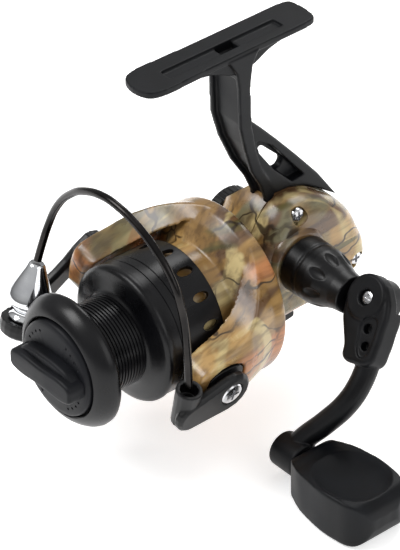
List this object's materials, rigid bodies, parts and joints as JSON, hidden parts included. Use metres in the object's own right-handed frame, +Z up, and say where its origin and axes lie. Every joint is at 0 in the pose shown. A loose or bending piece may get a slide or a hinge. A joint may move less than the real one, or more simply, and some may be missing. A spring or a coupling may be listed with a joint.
{
  "type": "spinning reel",
  "caption": "Spinning reel with rod foot, geared crank with folding arm and paddle knob, rotor with flip-over wire bail, oscillating spool and front drag knob.",
  "frame": {"origin": "centre of the flat pad at the front end of the rod foot's top face", "axes": "+Z up out of the foot's top face, -Y forward along the spool axis, +X along the crank axis towards the handle"},
  "size_m": [0.1319, 0.1246, 0.1319],
  "materials": {
    "frame_black": "fine matte moulded charcoal black",
    "camo": "glossy printed woodland pattern: tan, salmon, olive and grey-green",
    "black_plastic": "satin black",
    "handle_black": "satin black paint on die-cast metal",
    "grip_black": "satin black grip",
    "spool_black": "satin black anodised",
    "drag_grey": "matte dark grey",
    "bail_wire": "dark gunmetal steel",
    "roller_chrome": "polished chrome",
    "screw_chrome": "bright plated screws",
    "steel": "machined steel",
    "zinc": null,
    "brass": "turned brass",
    "felt": "oiled felt",
    "nylon": "natural nylon"
  },
  "bodies": {
    "frame": {"foot_frame": "frame_black", "gear_housing": "camo", "side_cover": "camo", "cover_screw_top": "screw_chrome", "cover_screw_rear": "screw_chrome", "cover_screw_front": "screw_chrome", "pinion_bearing": "steel", "one_way_clutch": "steel", "clutch_cover": "zinc", "drive_bearing_left": "steel", "drive_bearing_right": "steel", "anti_reverse_pin": "steel"},
    "anti_reverse": {"anti_reverse_lever": "black_plastic"},
    "crank": {"drive_gear": "zinc", "oscillation_pinion": "brass", "handle_shank": "handle_black", "handle_bolt": "steel"},
    "cap": {"handle_cap": "black_plastic"},
    "handle_arm_body": {"handle_arm": "handle_black", "fold_pin": "screw_chrome", "knob_shaft": "steel"},
    "knob": {"knob_grip": "grip_black"},
    "rotor_body": {"rotor": "camo", "rotor_nut": "brass", "pinion_gear": "brass", "arm_cover_near": "black_plastic", "arm_cover_far": "black_plastic", "pivot_screw_near": "screw_chrome", "pivot_screw_far": "screw_chrome", "bail_spring": "steel"},
    "trip_lever": {"bail_trip_lever": "nylon"},
    "bail": {"bail_arm": "black_plastic", "roller_arm": "black_plastic", "bail_wire": "bail_wire", "bail_cone": "roller_chrome", "roller_screw": "screw_chrome", "roller_bush": "nylon"},
    "roller": {"line_roller": "roller_chrome"},
    "shaft": {"main_shaft": "steel", "oscillation_slider": "nylon", "slider_screw": "steel", "click_ratchet": "zinc"},
    "osc_gear": {"oscillation_gear": "nylon"},
    "spool_body": {"spool": "spool_black", "drag_felt_rear": "felt", "drag_disc_rear": "steel", "drag_felt_middle": "felt", "drag_disc_front": "steel", "drag_felt_front": "felt", "drag_pressure_plate": "steel", "drag_clip": "steel", "click_pawl": "nylon"},
    "drag_control": {"drag_knob": "drag_grey", "drag_nut": "brass", "drag_spring": "steel"}
  },
  "joints": [
    {"name": "handle_turn", "type": "hinge", "parent": "frame", "child": "crank", "pos_m": [0, 0.0476, -0.0808], "axis": [1, 0, 0], "continuous": true},
    {"name": "cap_turn", "type": "hinge", "parent": "crank", "child": "cap", "pos_m": [-0.018, 0.0476, -0.0808], "axis": [1, 0, 0], "continuous": true},
    {"name": "handle_fold", "type": "hinge", "parent": "crank", "child": "handle_arm_body", "pos_m": [0.049, 0.04935, -0.07836], "axis": [0, 0.8131, -0.5821], "range_deg": [0, 15]},
    {"name": "knob_spin", "type": "hinge", "parent": "handle_arm_body", "child": "knob", "pos_m": [0.063, 0.01698, -0.12357], "axis": [1, 0, 0], "continuous": true},
    {"name": "rotor_spin", "type": "hinge", "parent": "frame", "child": "rotor_body", "pos_m": [0, 0.018, -0.0894], "axis": [0, -1, 0], "continuous": true},
    {"name": "bail_open", "type": "hinge", "parent": "rotor_body", "child": "bail", "pos_m": [0, 0.002, -0.0894], "axis": [0.9659, 0, -0.2588], "range_deg": [0, 86]},
    {"name": "roller_spin", "type": "hinge", "parent": "bail", "child": "roller", "pos_m": [-0.032, -0.0262, -0.0942], "axis": [0, 0.3074, 0.9516], "continuous": true},
    {"name": "trip_lever_turn", "type": "hinge", "parent": "rotor_body", "child": "trip_lever", "pos_m": [-0.0278, 0.011, -0.07802], "axis": [0.9659, 0, -0.2588], "range_deg": [-8, 8]},
    {"name": "spool_oscillation", "type": "slide", "parent": "frame", "child": "shaft", "axis": [0, 1, 0], "range_m": [-0.0065, 0.0065]},
    {"name": "spool_drag_turn", "type": "hinge", "parent": "shaft", "child": "spool_body", "pos_m": [0, -0.017, -0.0894], "axis": [0, 1, 0], "continuous": true},
    {"name": "drag_knob_turn", "type": "hinge", "parent": "shaft", "child": "drag_control", "pos_m": [0, -0.037, -0.0894], "axis": [0, 1, 0], "continuous": true},
    {"name": "osc_gear_turn", "type": "hinge", "parent": "frame", "child": "osc_gear", "pos_m": [0.0075, 0.0581, -0.08896], "axis": [1, 0, 0], "continuous": true},
    {"name": "anti_reverse_turn", "type": "hinge", "parent": "frame", "child": "anti_reverse", "pos_m": [0, 0.054, -0.1068], "axis": [0, 1, 0], "range_deg": [0, 35]}
  ],
  "couplings": [
    {"joint": "rotor_spin", "follows": "handle_turn", "ratio": 5.2222},
    {"joint": "osc_gear_turn", "follows": "handle_turn", "ratio": -0.58333}
  ]
}
